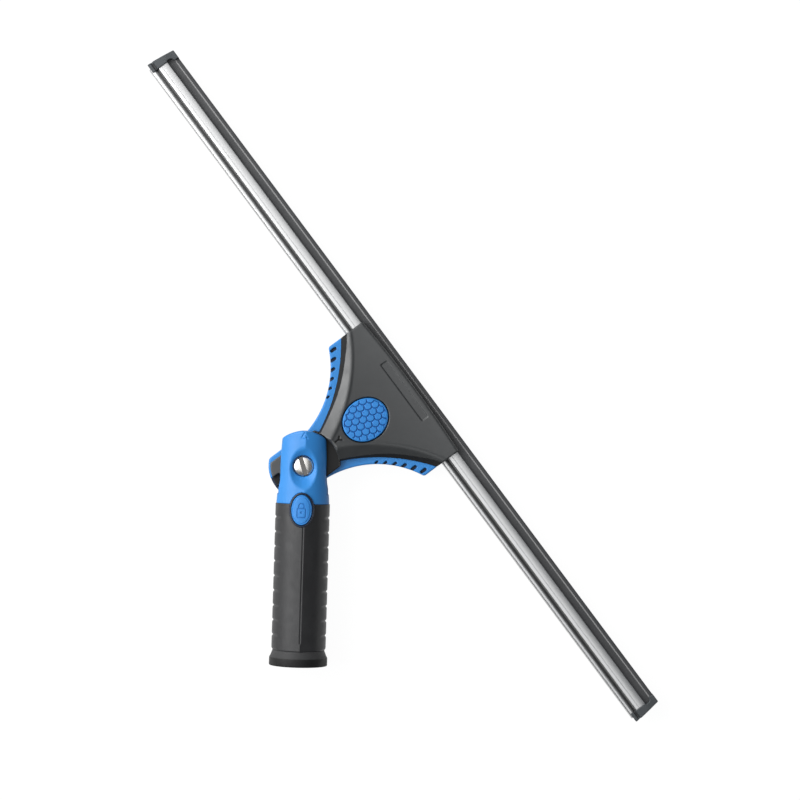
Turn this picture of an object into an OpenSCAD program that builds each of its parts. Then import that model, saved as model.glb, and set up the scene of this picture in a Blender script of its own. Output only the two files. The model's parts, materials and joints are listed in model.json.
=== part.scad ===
// Window cleaning squeegee with a swivelling head. Lengths are in millimetres.
// The handle lies along Y with the mouth of its pole socket at the origin, and
// Z points out of its front. The head is drawn in its own plane, with u along
// the channel and v from the swivel axis out to the rubber, and placed last.

/* [Handle] */
// Height of the swivel axis above the socket mouth
pivot_y = 111; // [111:0.5:118]
// Radius of the pole socket
socket_r = 10.5; // [10.1:0.1:11]
// Depth of the pole socket
socket_depth = 69; // [60:1:70]
// Outer radius of the rubber grip
grip_r = 15.1; // [14.6:0.1:16]
// Height at which the grip ends and the yoke begins
grip_top = 90; // [89:0.5:90]
// Outer radius of the collar
collar_r = 16.2; // [16:0.1:18]
// Length of the collar
collar_len = 8.5; // [6:0.5:12]

/* [Swivel] */
// Angle of the head from straight ahead
head_angle = -51.6; // [-90:0.1:90]
// Radius of the yoke's round top
cheek_r = 19.4; // [18:0.1:19.5]
// Half width of the yoke beside the screw
cheek_half = 12.9; // [12.5:0.1:13.2]
// Half thickness of the knuckle between the cheeks
knuckle_half = 4.8; // [4.4:0.1:4.8]
// Radius of the tension screw's shaft
shaft_r = 3.5; // [3.2:0.1:3.8]

/* [Head] */
// Half width of the head along the channel
head_half = 44.8; // [40:0.2:44.8]
// Depth of the channel's middle plane below the swivel plane
channel_drop = 6.5; // [6:0.1:6.5]
// Travel of the release button
release_travel = 1.5; // [1:0.1:1.5]

/* [Blade] */
// Length over both end clips
blade_len = 457; // [300:1:600]
// Distance of the blade's middle from the head's middle
blade_shift = -3; // [-20:0.5:20]
// Distance from the swivel axis to the channel's back edge
channel_v = 62.1; // [62.1:0.1:62.4]

/* [Hidden] */
$fn = 96;
far = 60;
gap = 0.1;

// Handle
core_r = 12.4;
core_top = 76.5;
yoke_r = 14.6;
shoulder_y = 98;
plug_r = 10;
plug_pin_y = 72.8;
plug_pin_r = 1.25;
nose_r = 6.5;
nose_top = 88;

// Lock button
lock_y = 86.8;
lock_travel = 2.5;
lock_size = [5.8, 8.4];
lock_well = [6.05, 8.65];
bezel_in = [5.95, 8.55];
bezel_out = [7, 9.6];
bezel_z = 10.6;
lock_z = 10.3;
catch_half_y = 1.5;
catch_r = 8;
catch_bore_r = 6.7;
spring_y = 91.6;
spring_z = 6.2;

// Swivel
slot_half = 5.6;
screw_head_r = 5.5;
sink_r = 5.95;
sink_z = 7.6;
screw_head_z = [8.3, 10.6];
screw_slot_w = 2.2;
screw_slot_angle = -71;
thread_r = 3;
nut_z = [-13, -9.5];
nut_r = 5.77;
dish_slope = 1.51;
dish_shift = 1.6;
bush_r = 5;
washer_r = 7.6;
stop_pin_r = 1.15;
stop_ring_r = 9.4;
stop_slot_half = 1.3;

// Head plan
knuckle_r = 19.7;
knuckle_w = 14.75;
pocket_r = 20;
tongue_r = 18.4;
tongue_w = 12.3;
tongue_z = 1.2;
base_arc = [67.5, 0.5, 54.6];
shell_arc = [104.7, -27, 104.7];
shell_edge = 75.5;
edge_bow_r = 717.5;

// Head section
head_back = -13.8;
split_v = 59;
split_z = -4;
face_low = 0.2;
face_rise = 10;
face_v = 20;
face_power = 1.6;

// Channel section, measured from its back edge
jaw_v = 5;
jaw_end = 11;
jaw_half = 3.2;
bead_v = 1.7;
bead_r = 1.7;
groove_half = 1.3;
lip_half = 1;
rubber_bead_v = 7.4;
rubber_bead_r = 1.8;
web_half = 0.9;
wiper_v = 14.7;
wiper_end = 17.5;
wiper_half = 1.6;
clip_depth = 5.5;
clip_slant = 7.2;
channel_half = blade_len / 2 - 3;
rubber_half = blade_len / 2 - 3.7;

// Clamp
clamp_gap = 0.1;
clamp_back = channel_v - 0.2;
clamp_front = channel_v + jaw_end + 0.2;
clamp_top = jaw_half - channel_drop + clamp_gap;
clamp_floor = -jaw_half - channel_drop - clamp_gap / 2;
lip_gap = 1.9;

// Release
release_v = 42.7;
release_size = [11.5, 13.2];
release_well = [11.7, 13.4];
release_z = 0;
release_floor = -6;
release_crown = 0.8;
stem_r = 3;
plate_t = 0.75;
plate_z = clamp_floor - 0.05 - plate_t;
plate_half = 12.8;
plate_v = [34, 69];
chamber_z = [plate_z - release_travel - 0.15, clamp_floor + 0.1];

// Screws and pad
head_screw = [24, 52];
head_screw_r = 1.6;
head_screw_z = [-13.2, 0.4];
pad_half = 36;
pad_v = [65.5, 71.5];
pad_t = 0.8;

// Height of the shell's face at a distance v from the swivel axis
function face_z(v) = face_low + face_rise * pow((shell_edge - v) / (shell_edge - face_v), face_power);

// Points of an oval with half axes size
function oval_points(size, n = 64) = [for (i = [0:n - 1]) [size[0] * cos(360 * i / n), size[1] * sin(360 * i / n)]];

// Points of a coil's wire ring number i, out of n
function coil_ring(i, n, turns, r, wire, height) =
    let (turn = 360 * turns * i / n, rise = wire + (height - 2 * wire) * i / n)
    [for (k = [0:7]) let (reach = r + wire * cos(45 * k))
        [reach * cos(turn), reach * sin(turn), rise + wire * sin(45 * k)]];

// A cylinder along Y
module along_y(y0, y1, r) {
    translate([0, y0, 0]) rotate([-90, 0, 0]) cylinder(h = y1 - y0, r = r);
}

// A cylinder along Z
module along_z(z0, z1, r) {
    translate([0, 0, z0]) cylinder(h = z1 - z0, r = r);
}

// A flat shape drawn in v and z, stretched along u
module along_u(half) {
    rotate([90, 0, 90]) translate([0, 0, -half]) linear_extrude(2 * half) children();
}

// An upright oval column
module oval(size, z0, z1) {
    translate([0, 0, z0]) linear_extrude(z1 - z0) polygon(oval_points(size));
}

// A closed coil that stands on z = 0
module coil(r, wire, height, turns) {
    n = turns * 14;
    rings = [for (i = [0:n]) each coil_ring(i, n, turns, r, wire, height)];
    sides = [for (i = [0:n - 1], k = [0:7])
        [8 * i + k, 8 * i + 8 + k, 8 * i + 8 + (k + 1) % 8, 8 * i + (k + 1) % 8]];
    first = [for (k = [0:7]) k];
    last = [for (k = [7:-1:0]) 8 * n + k];
    polyhedron(rings, concat([first], sides, [last]), convexity = 8);
}

// Moves a shape from the swivel axis to its place on the handle
module at_pivot() {
    translate([0, pivot_y, 0]) children();
}

// Turns a shape drawn in u and v to the head's place
module head_place() {
    at_pivot() rotate([0, 0, head_angle]) children();
}

// ---------------------------------------------------------------- handle

module handle_core() {
    color("dimgray") difference() {
        along_y(0, core_top, core_r);
        along_y(-1, socket_depth, socket_r);
        along_y(0, core_top + 1, plug_r);
        yoke_pin_pair(plug_pin_r);
    }
}

module grip_sleeve() {
    color([0.13, 0.13, 0.14]) difference() {
        along_y(collar_len, grip_top, grip_r);
        along_y(0, grip_top + 1, core_r);
        translate([0, lock_y, 0]) oval(bezel_out, 9, far);
    }
}

module end_collar() {
    color([0.1, 0.1, 0.11]) rotate([-90, 0, 0]) rotate_extrude() polygon([
        [core_r, 0], [collar_r - 0.5, 0], [collar_r, 0.5], [collar_r, 4.4],
        [grip_r - 0.5, collar_len], [core_r, collar_len]
    ]);
}

// Plan of the yoke's two cheeks and its shoulders
module yoke_plan() {
    intersection() {
        union() {
            translate([0, pivot_y]) circle(cheek_r);
            translate([-far, grip_top]) square([2 * far, pivot_y - grip_top]);
        }
        polygon([
            [-yoke_r, grip_top], [yoke_r, grip_top], [yoke_r - 0.2, shoulder_y],
            [cheek_half, shoulder_y + 5], [cheek_half, pivot_y + 3], [cheek_half - 0.7, pivot_y + 20],
            [0.7 - cheek_half, pivot_y + 20], [-cheek_half, pivot_y + 3], [-cheek_half, shoulder_y + 5],
            [0.2 - yoke_r, shoulder_y]
        ]);
    }
}

// The gap between the cheeks, with a round bottom
module knuckle_gap() {
    translate([0, 0, -slot_half]) linear_extrude(2 * slot_half) union() {
        translate([0, pivot_y]) circle(pocket_r + 0.9);
        translate([-far, pivot_y]) square([2 * far, far]);
    }
}

module yoke_pin_pair(r) {
    for (side = [-1, 1]) {
        translate([side * nose_r, plug_pin_y, 0]) rotate([0, side * 90, 0])
            translate([0, 0, 1]) cylinder(h = core_r - nose_r - 1.5, r = r);
    }
}

// The slit in which the lock's catch moves
module catch_slit() {
    translate([0, lock_y + catch_half_y + gap, 0]) rotate([90, 0, 0])
        linear_extrude(2 * (catch_half_y + gap))
            upright_stadium(catch_r + 0.3, -lock_travel + 1.1, 2.4);
}

module upright_stadium(r, z0, z1) {
    translate([0, z0]) circle(r);
    translate([0, z1]) circle(r);
    translate([-r, z0]) square([2 * r, z1 - z0]);
}

module yoke() {
    color([0.16, 0.47, 0.86]) difference() {
        union() {
            intersection() {
                translate([0, 0, -far]) linear_extrude(2 * far) yoke_plan();
                along_y(grip_top, pivot_y + far, yoke_r);
            }
            along_y(core_top, grip_top, core_r);
            along_y(socket_depth + 0.2, core_top, plug_r);
        }
        knuckle_gap();
        at_pivot() along_z(-far, far, shaft_r + gap);
        at_pivot() along_z(sink_z, far, sink_r);
        translate([0, pivot_y - dish_shift, screw_head_z[1]])
            cylinder(h = 8, r1 = sink_r, r2 = sink_r + 8 * dish_slope);
        at_pivot() translate([0, 0, -far]) cylinder(h = far + nut_z[1], r = nut_r + gap, $fn = 6);
        translate([0, pivot_y - stop_ring_r, 0]) along_z(-9, 9, stop_pin_r);
        along_y(0, nose_top, nose_r);
        yoke_pin_pair(plug_pin_r);
        catch_slit();
        translate([0, lock_y, 0]) oval(lock_well, lock_z - lock_travel - gap, far);
        translate([0, lock_y, 0]) oval(bezel_out, bezel_z, far);
        translate([0, spring_y, 0]) along_z(spring_z, far, 2.3);
    }
}

module yoke_pins() {
    color("silver") yoke_pin_pair(plug_pin_r);
}

module button_bezel() {
    color([0.08, 0.1, 0.16]) intersection() {
        along_y(0, pivot_y, yoke_r + 0.7);
        translate([0, lock_y, 0]) difference() {
            oval(bezel_out, bezel_z, far);
            oval(bezel_in, 0, far + 1);
        }
    }
}

module lock_spring() {
    color("silver") translate([0, spring_y, spring_z]) coil(1.7, 0.25, lock_z - spring_z - gap / 2, 4);
}

module pivot_nut() {
    color("silver") at_pivot() difference() {
        translate([0, 0, nut_z[0]]) cylinder(h = nut_z[1] - nut_z[0], r = nut_r, $fn = 6);
        along_z(-far, far, thread_r + gap / 2);
    }
}

module stop_pin() {
    color("silver") translate([0, pivot_y - stop_ring_r, 0]) along_z(-9, 9, stop_pin_r);
}

module thrust_washer(z0, z1) {
    color("gainsboro") at_pivot() difference() {
        along_z(z0, z1, washer_r);
        along_z(z0 - 1, z1 + 1, shaft_r + 0.2);
    }
}

module thrust_washer_top() {
    thrust_washer(knuckle_half + gap, slot_half);
}

module thrust_washer_bottom() {
    thrust_washer(-slot_half, -knuckle_half - gap);
}

module wave_washer() {
    color("silver") at_pivot() difference() {
        along_z(sink_z, screw_head_z[0] - gap, sink_r - 0.3);
        along_z(0, far, shaft_r + 0.2);
    }
}

// ---------------------------------------------------------- tension screw

module pivot_screw() {
    color([0.75, 0.75, 0.76]) at_pivot() difference() {
        union() {
            along_z(screw_head_z[0], screw_head_z[1], screw_head_r);
            along_z(nut_z[1] + 0.3, screw_head_z[0], shaft_r);
            along_z(nut_z[0] + 0.3, nut_z[1] + 0.3, thread_r);
        }
        rotate([0, 0, screw_slot_angle]) translate([-far, -screw_slot_w / 2, screw_head_z[1] - 1.2])
            cube([2 * far, screw_slot_w, 5]);
    }
}

// ------------------------------------------------------------ lock button

module lock_button() {
    color([0.2, 0.52, 0.9]) intersection() {
        along_y(0, pivot_y, yoke_r + 1.3);
        translate([0, lock_y, 0]) oval(lock_size, lock_z, far);
    }
}

module lock_catch() {
    color("gray") translate([0, lock_y + catch_half_y, 0]) rotate([90, 0, 0])
        linear_extrude(2 * catch_half_y) difference() {
            union() {
                upright_stadium(catch_r, 1.3, 2.3);
                translate([-4, 5]) square([8, lock_z - 5]);
            }
            upright_stadium(catch_bore_r, 1.5, 2.4);
        }
}

// -------------------------------------------------------------- head

// A wide plan whose sides are cut back by one arc on each side
module waisted_plan(v0, v1, arc) {
    intersection() {
        difference() {
            translate([-head_half, v0]) square([2 * head_half, v1 - v0]);
            for (side = [-1, 1]) {
                translate([side * arc[0], arc[1]]) circle(arc[2], $fn = 180);
            }
        }
        translate([0, shell_edge - edge_bow_r]) circle(edge_bow_r, $fn = 360);
    }
}

module knuckle_plan(r, half) {
    intersection() {
        circle(r);
        translate([-half, -r]) square([2 * half, r]);
    }
}

// Curved slot that lets the head swing a quarter turn each way
module stop_slot() {
    translate([0, 0, -far]) linear_extrude(2 * far) {
        difference() {
            circle(stop_ring_r + stop_slot_half);
            circle(stop_ring_r - stop_slot_half);
            translate([-far, 0]) square([2 * far, far]);
        }
        for (side = [-1, 1]) {
            translate([side * stop_ring_r, 0]) circle(stop_slot_half);
        }
    }
}

// What the swivel takes out of both halves of the head
module swivel_cuts() {
    along_z(knuckle_half, far, pocket_r);
    along_z(-far, -knuckle_half, pocket_r);
    along_z(-far, far, bush_r);
    stop_slot();
}

module head_screw_pair(r, z0, z1) {
    for (side = [-1, 1]) {
        translate([side * head_screw[0], head_screw[1], 0]) along_z(z0, z1, r);
    }
}

module base_section() {
    polygon([
        [-far, tongue_z], [16, tongue_z], [split_v, split_z], [split_v, clamp_floor],
        [clamp_front, clamp_floor], [clamp_front, -channel_drop - lip_gap],
        [far + 20, -channel_drop - lip_gap], [far + 20, head_back], [50, head_back],
        [14, head_back + 1.8], [-far, head_back + 1.8]
    ]);
}

module head_base() {
    color([0.16, 0.47, 0.86]) head_place() difference() {
        intersection() {
            translate([0, 0, -far]) linear_extrude(2 * far) {
                waisted_plan(-6, shell_edge, base_arc);
                knuckle_plan(knuckle_r, knuckle_w);
            }
            along_u(head_half + 1) base_section();
        }
        swivel_cuts();
        translate([0, release_v, 0]) oval(release_well, release_floor, far);
        translate([0, release_v, 0]) along_z(chamber_z[0], 0, stem_r + gap);
        translate([-plate_half - 0.3, plate_v[0] - 0.3, chamber_z[0]])
            cube([2 * plate_half + 0.6, plate_v[1] - plate_v[0] + 0.6, chamber_z[1] - chamber_z[0]]);
        head_screw_pair(head_screw_r, -far, far);
        head_screw_pair(head_screw_r * 2, -far, head_screw_z[0] + 2);
    }
}

module shell_section() {
    top = [for (i = [0:14]) let (v = shell_edge - (shell_edge - 8) * i / 14) [v, face_z(v)]];
    polygon(concat([
        [8, tongue_z], [16, tongue_z], [split_v, split_z], [split_v, clamp_floor],
        [clamp_back, clamp_floor], [clamp_back, clamp_top], [clamp_front, clamp_top],
        [clamp_front, -channel_drop + lip_gap], [shell_edge, -channel_drop + lip_gap]
    ], top));
}

module head_shell() {
    color([0.3, 0.31, 0.33]) head_place() difference() {
        union() {
            intersection() {
                translate([0, 0, -far]) linear_extrude(2 * far) waisted_plan(8, shell_edge, shell_arc);
                along_u(head_half + 1) shell_section();
            }
            translate([0, 0, tongue_z]) linear_extrude(knuckle_half - tongue_z) {
                knuckle_plan(tongue_r, tongue_w);
                intersection() {
                    circle(pocket_r);
                    translate([-tongue_w, -1]) square([2 * tongue_w, 16]);
                }
            }
        }
        swivel_cuts();
        translate([0, release_v, 0]) oval(release_well, -far, far);
        head_screw_pair(head_screw_r, -far, head_screw_z[1]);
        translate([-pad_half, pad_v[0], clamp_top - 1])
            cube([2 * pad_half, pad_v[1] - pad_v[0], pad_t + 1]);
    }
}

module pivot_bush() {
    color("goldenrod") head_place() difference() {
        along_z(-knuckle_half, knuckle_half, bush_r);
        along_z(-far, far, shaft_r + gap / 2);
    }
}

module jaw_pad() {
    color([0.15, 0.15, 0.15]) head_place() translate([-pad_half, pad_v[0], clamp_top])
        cube([2 * pad_half, pad_v[1] - pad_v[0], pad_t]);
}

module head_screws() {
    color("silver") head_place() difference() {
        union() {
            head_screw_pair(head_screw_r, head_screw_z[0], head_screw_z[1]);
            head_screw_pair(head_screw_r * 2, head_screw_z[0], head_screw_z[0] + 2);
        }
        head_screw_pair(0.9, -far, head_screw_z[0] + 1.2);
    }
}

module release_spring() {
    color("silver") head_place() translate([0, release_v, release_floor])
        coil(4.6, 0.35, release_z - release_floor - gap / 2, 4);
}

module release_button() {
    crown = [for (i = [0:10]) let (v = release_v + 14 - 28 * i / 10) [v, face_z(v) + release_crown]];
    color([0.2, 0.52, 0.9]) head_place() union() {
        intersection() {
            translate([0, release_v, 0]) oval(release_size, release_z, far);
            along_u(far) polygon(concat([[release_v - 14, -1], [release_v + 14, -1]], crown));
        }
        translate([0, release_v, 0]) along_z(plate_z + plate_t, release_z, stem_r);
    }
}

module latch_plate() {
    color("silver") head_place() translate([-plate_half, plate_v[0], plate_z])
        cube([2 * plate_half, plate_v[1] - plate_v[0], plate_t]);
}

// -------------------------------------------------------------- blade

// Places a section, drawn from the channel's back edge, on the head
module blade_place() {
    head_place() translate([blade_shift, channel_v, -channel_drop]) children();
}

module channel_outline() {
    translate([bead_v, 0]) circle(bead_r);
    translate([bead_v, -groove_half]) square([jaw_v, 2 * groove_half]);
    translate([jaw_v, -jaw_half]) square([jaw_end - jaw_v, 2 * jaw_half]);
}

module channel_section() {
    difference() {
        channel_outline();
        translate([bead_v, 0]) circle(0.9);
        translate([rubber_bead_v, 0]) circle(rubber_bead_r);
        translate([rubber_bead_v, -lip_half]) square([far, 2 * lip_half]);
    }
}

module rubber_section() {
    translate([rubber_bead_v, 0]) circle(rubber_bead_r);
    translate([rubber_bead_v, -web_half]) square([wiper_v - rubber_bead_v, 2 * web_half]);
    polygon([
        [wiper_v - 0.8, -web_half], [wiper_v, -wiper_half], [wiper_end, -wiper_half],
        [wiper_end, wiper_half], [wiper_v, wiper_half], [wiper_v - 0.8, web_half]
    ]);
}

module clip_section() {
    polygon([
        [1, -2.9], [jaw_v - 1, -2.9], [jaw_v - 0.3, -4.2], [jaw_end + 1, -4.2],
        [wiper_v, -3], [wiper_end + 0.2, -2.6], [wiper_end + 0.2, 2.6], [wiper_v, 3],
        [jaw_end + 1, 4.2], [jaw_v - 0.3, 4.2], [jaw_v - 1, 2.9], [1, 2.9]
    ]);
}

module channel() {
    color([0.86, 0.87, 0.88]) blade_place() along_u(channel_half) channel_section();
}

module rubber_blade() {
    color([0.2, 0.2, 0.21]) blade_place() along_u(rubber_half) rubber_section();
}

// A clip that caps one end of the channel and grips the rubber
module end_clip(side) {
    color([0.25, 0.27, 0.29]) blade_place() mirror([side < 0 ? 1 : 0, 0, 0]) difference() {
        intersection() {
            along_u(blade_len / 2) clip_section();
            translate([blade_len / 2, 0, -far]) rotate([0, 0, clip_slant])
                translate([-far, -far, 0]) cube([far, 2 * far, 2 * far]);
        }
        along_u(channel_half) channel_outline();
        along_u(rubber_half) rubber_section();
        translate([-far - blade_len / 2, -far, -far])
            cube([far + blade_len - clip_depth, 2 * far, 2 * far]);
    }
}

module end_clip_left() {
    end_clip(-1);
}

module end_clip_right() {
    end_clip(1);
}

handle_core();
grip_sleeve();
end_collar();
yoke();
yoke_pins();
button_bezel();
lock_spring();
pivot_nut();
stop_pin();
thrust_washer_top();
thrust_washer_bottom();
wave_washer();
pivot_screw();
lock_button();
lock_catch();
head_base();
head_shell();
pivot_bush();
jaw_pad();
head_screws();
release_spring();
release_button();
latch_plate();
channel();
rubber_blade();
end_clip_left();
end_clip_right();
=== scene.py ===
"""Window cleaning squeegee: the looks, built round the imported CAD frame.

The handle lies along Y and the head swivels about Z. The head's own plane has u along
the channel and v from the swivel axis out to the rubber. Shapes are worked out in
millimetres and placed in metres. A moulded part is a distance field, negative inside,
which is turned into a quad mesh; a turned or extruded part is a swept section.
"""

import json
import math

import bmesh
import bpy
import numpy as np
from mathutils import Matrix, Vector


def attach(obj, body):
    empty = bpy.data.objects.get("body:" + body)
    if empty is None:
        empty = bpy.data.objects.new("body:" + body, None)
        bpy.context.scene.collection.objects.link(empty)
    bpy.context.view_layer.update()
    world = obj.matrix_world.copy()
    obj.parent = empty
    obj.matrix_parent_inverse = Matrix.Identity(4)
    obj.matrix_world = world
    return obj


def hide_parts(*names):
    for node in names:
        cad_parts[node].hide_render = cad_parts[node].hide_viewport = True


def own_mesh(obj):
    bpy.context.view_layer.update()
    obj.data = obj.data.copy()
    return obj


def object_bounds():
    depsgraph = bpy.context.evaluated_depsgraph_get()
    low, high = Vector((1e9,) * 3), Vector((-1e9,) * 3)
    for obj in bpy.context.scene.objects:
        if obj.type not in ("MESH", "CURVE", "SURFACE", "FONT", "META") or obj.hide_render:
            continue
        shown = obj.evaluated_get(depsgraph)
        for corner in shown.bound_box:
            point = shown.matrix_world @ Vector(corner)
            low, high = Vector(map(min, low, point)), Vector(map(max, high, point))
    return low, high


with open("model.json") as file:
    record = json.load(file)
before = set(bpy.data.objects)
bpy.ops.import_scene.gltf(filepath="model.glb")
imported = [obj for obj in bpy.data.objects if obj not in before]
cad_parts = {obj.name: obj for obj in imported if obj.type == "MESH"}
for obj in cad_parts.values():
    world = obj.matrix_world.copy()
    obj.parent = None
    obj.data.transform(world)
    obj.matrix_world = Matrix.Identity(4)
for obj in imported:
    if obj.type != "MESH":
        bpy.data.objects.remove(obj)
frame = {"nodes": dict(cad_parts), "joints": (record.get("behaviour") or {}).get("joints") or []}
cad_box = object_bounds()

MM = 0.001
HERE = Matrix.Identity(4)
JOINTS = {j["name"]: j for j in frame["joints"]}
PIVOT = Vector(JOINTS["head_swivel"]["pos_m"])
SLIDE = Vector(JOINTS["channel_slide"]["axis"])
HEAD = Matrix.Translation(PIVOT) @ Matrix.Rotation(math.atan2(SLIDE.y, SLIDE.x), 4, "Z")


def span(node, place=HERE):
    """Lowest and highest corner of a CAD node in millimetres, in the axes of place."""
    back = place.inverted()
    co = np.array([back @ v.co for v in frame["nodes"][node].data.vertices]) / MM
    return co.min(0), co.max(0)


# ------------------------------------------------------------------ meshes


def smooth(piece):
    """Shades a piece smooth."""
    piece.data.polygons.foreach_set("use_smooth", [True] * len(piece.data.polygons))
    return piece


def place_mesh(name, verts, faces, place=HERE):
    """A new object from points in millimetres, in the axes of place."""
    mesh = bpy.data.meshes.new(name)
    mesh.from_pydata((np.asarray(verts, float) * MM).tolist(), [], faces)
    mesh.update()
    piece = bpy.data.objects.new(name, mesh)
    bpy.context.scene.collection.objects.link(piece)
    piece.matrix_world = place
    return piece


def settle(piece, node, body, material):
    """Gives a piece its body and its material, and hides the CAD node that it stands for."""
    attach(piece, body)
    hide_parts(node)
    piece.data.materials.clear()
    piece.data.materials.append(material)
    return piece


def with_painted_light(piece, paint):
    """Stores paint's value from 0 to 1 at every point of a piece; it marks where painted shade or a painted
    highlight goes.
    """
    co = np.empty(3 * len(piece.data.vertices))
    piece.data.vertices.foreach_get("co", co)
    tone = piece.data.attributes.new("tone", "FLOAT", "POINT")
    tone.data.foreach_set("value", np.clip(paint(*(co.reshape(-1, 3) / MM).T), 0, 1).astype(np.float32))
    return piece


def shade_faces(piece, material):
    """Gives the faces whose painted shade is strong a second material, a duller, less glossy copy that stands
    in for shade.
    """
    mesh = piece.data
    tone = np.empty(len(mesh.vertices), np.float32)
    mesh.attributes["tone"].data.foreach_get("value", tone)
    mesh.materials.append(material)
    high = [int(tone[list(f.vertices)].mean() > 0.55) for f in mesh.polygons]
    mesh.polygons.foreach_set("material_index", high)
    return piece


def gradient(field, p, h=0.02):
    """Slope of a distance field at points p."""
    out = np.empty_like(p)
    for axis in range(3):
        shift = np.zeros(3)
        shift[axis] = h
        out[:, axis] = (field(*(p + shift).T) - field(*(p - shift).T)) / (2 * h)
    return out


def nets(field, low, high, step):
    """Points and quads of the surface field = 0, by surface nets."""
    axes = [np.arange(a - 1.5 * step, b + 2.5 * step, step) for a, b in zip(low, high)]
    value = field(*np.meshgrid(*axes, indexing="ij"))
    inside = value < 0
    size = np.array(value.shape) - 1
    corners = [(i, j, k) for i in (0, 1) for j in (0, 1) for k in (0, 1)]

    def corner(a, c):
        return a[c[0]:c[0] + size[0], c[1]:c[1] + size[1], c[2]:c[2] + size[2]]

    count = sum(corner(inside, c).astype(np.int8) for c in corners)
    cells = np.argwhere((count > 0) & (count < 8))
    number = np.full(size, -1, np.int64)
    number[tuple(cells.T)] = np.arange(len(cells))
    total = np.zeros((len(cells), 3))
    hits = np.zeros(len(cells))
    for c in corners:
        for axis in range(3):
            if c[axis]:
                continue
            d = list(c)
            d[axis] = 1
            a = value[tuple((cells + c).T)]
            b = value[tuple((cells + d).T)]
            cross = (a < 0) != (b < 0)
            share = np.where(cross, a / np.where(cross, a - b, 1), 0)
            point = np.tile(np.array(c, float), (len(cells), 1))
            point[:, axis] += share
            total[cross] += point[cross]
            hits += cross
    origin = np.array([a[0] for a in axes])
    verts = origin + step * (cells + total / hits[:, None])
    faces = []
    for axis in range(3):
        j, k = (axis + 1) % 3, (axis + 2) % 3
        first = np.take(inside, range(size[axis]), axis)
        second = np.take(inside, range(1, size[axis] + 1), axis)
        edges = np.argwhere(first != second)
        within = (edges[:, j] > 0) & (edges[:, j] < size[j])
        edges = edges[within & (edges[:, k] > 0) & (edges[:, k] < size[k])]
        ring = []
        for dj, dk in ((1, 1), (0, 1), (0, 0), (1, 0)):
            at = edges.copy()
            at[:, j] -= dj
            at[:, k] -= dk
            ring.append(number[tuple(at.T)])
        quads = np.stack(ring, 1)
        outward = first[tuple(edges.T)]
        quads[~outward] = quads[~outward][:, ::-1]
        faces.append(quads)
    for _ in range(4):
        slope = gradient(field, verts)
        fall = field(*verts.T) / np.maximum((slope ** 2).sum(1), 0.05)
        verts = verts - np.clip(fall, -0.5 * step, 0.5 * step)[:, None] * slope
    return verts, np.concatenate(faces)


def moulded(name, field, low, high, step, place=HERE, paint=None):
    """A piece meshed from a distance field; paint gives, from 0 to 1, where painted shade or a painted
    highlight goes.
    """
    verts, quads = nets(field, low, high, step)
    piece = smooth(place_mesh(name, verts, quads.tolist(), place))
    return with_painted_light(piece, paint) if paint is not None else piece


def rings(name, loops, place=HERE, ends="open"):
    """A skin over rows of points; ends is open, caps, or ring to join the last row to the first."""
    width = len(loops[0])
    verts = [p for loop in loops for p in loop]
    faces = []
    rows = len(loops) if ends == "ring" else len(loops) - 1
    for i in range(rows):
        a, b = i * width, (i + 1) % len(loops) * width
        faces += [(a + k, a + (k + 1) % width, b + (k + 1) % width, b + k) for k in range(width)]
    if ends == "caps":
        last = (len(loops) - 1) * width
        faces += [tuple(range(width))[::-1], tuple(range(last, last + width))]
    return place_mesh(name, verts, faces, place)


def turned(name, section, place=HERE, sides=128):
    """A closed section of (radius, height) points turned about Y."""
    loops = []
    for r, y in section:
        turns = np.linspace(0, 2 * math.pi, sides, False)
        loops.append([(r * math.sin(t), y, r * math.cos(t)) for t in turns])
    return smooth(rings(name, loops, place, "ring"))


def extruded(name, section, cuts, place=HERE):
    """A closed section of (v, z) points stretched along u through the places in cuts."""
    return rings(name, [[(u, v, z) for v, z in section] for u in cuts], place, "caps")


def edge_split(piece, width, segments=3, angle=30):
    """Rounds the sharp edges of a swept piece and keeps its flats flat."""
    bevel = piece.modifiers.new("bevel", "BEVEL")
    bevel.width = width * MM
    bevel.segments = segments
    bevel.limit_method = "ANGLE"
    bevel.angle_limit = math.radians(angle)
    bevel.harden_normals = True
    smooth(piece)
    return piece


def cut(piece, cutter):
    """Takes cutter's shape out of piece, for good."""
    boolean = piece.modifiers.new("cut", "BOOLEAN")
    boolean.object = cutter
    boolean.operation = "DIFFERENCE"
    boolean.solver = "EXACT"
    bpy.context.view_layer.update()
    graph = bpy.context.evaluated_depsgraph_get()
    made = bpy.data.meshes.new_from_object(piece.evaluated_get(graph))
    piece.modifiers.clear()
    piece.data = made
    bpy.data.objects.remove(cutter)
    return smooth(piece)


# -------------------------------------------------------- distance fields


def smax(a, b, k):
    """The larger of a and b, rounded over k."""
    h = np.maximum(k - np.abs(a - b), 0) / k
    return np.maximum(a, b) + h * h * k / 4


def smin(a, b, k):
    """The smaller of a and b, rounded over k."""
    return -smax(-a, -b, k)


def slab(x, low, high):
    """Outside distance from the gap between low and high."""
    return np.maximum(low - x, x - high)


def oval(x, y, half_x, half_y):
    """Distance from an oval's rim, negative inside."""
    k = np.hypot(x / half_x, y / half_y)
    slope = np.hypot(x / half_x ** 2, y / half_y ** 2)
    return k * (k - 1) / np.maximum(slope, 1e-6)


def rounded_box(x, y, half_x, half_y, r):
    """Distance from a rectangle with corner radius r."""
    dx, dy = np.abs(x) - half_x + r, np.abs(y) - half_y + r
    return np.hypot(np.maximum(dx, 0), np.maximum(dy, 0)) + np.minimum(np.maximum(dx, dy), 0) - r


def segment(x, y, a, b):
    """Distance from the line between points a and b."""
    ax, ay, bx, by = *a, *b
    length = (bx - ax) ** 2 + (by - ay) ** 2
    t = np.clip(((x - ax) * (bx - ax) + (y - ay) * (by - ay)) / length, 0, 1)
    return np.hypot(x - ax - t * (bx - ax), y - ay - t * (by - ay))


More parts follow.
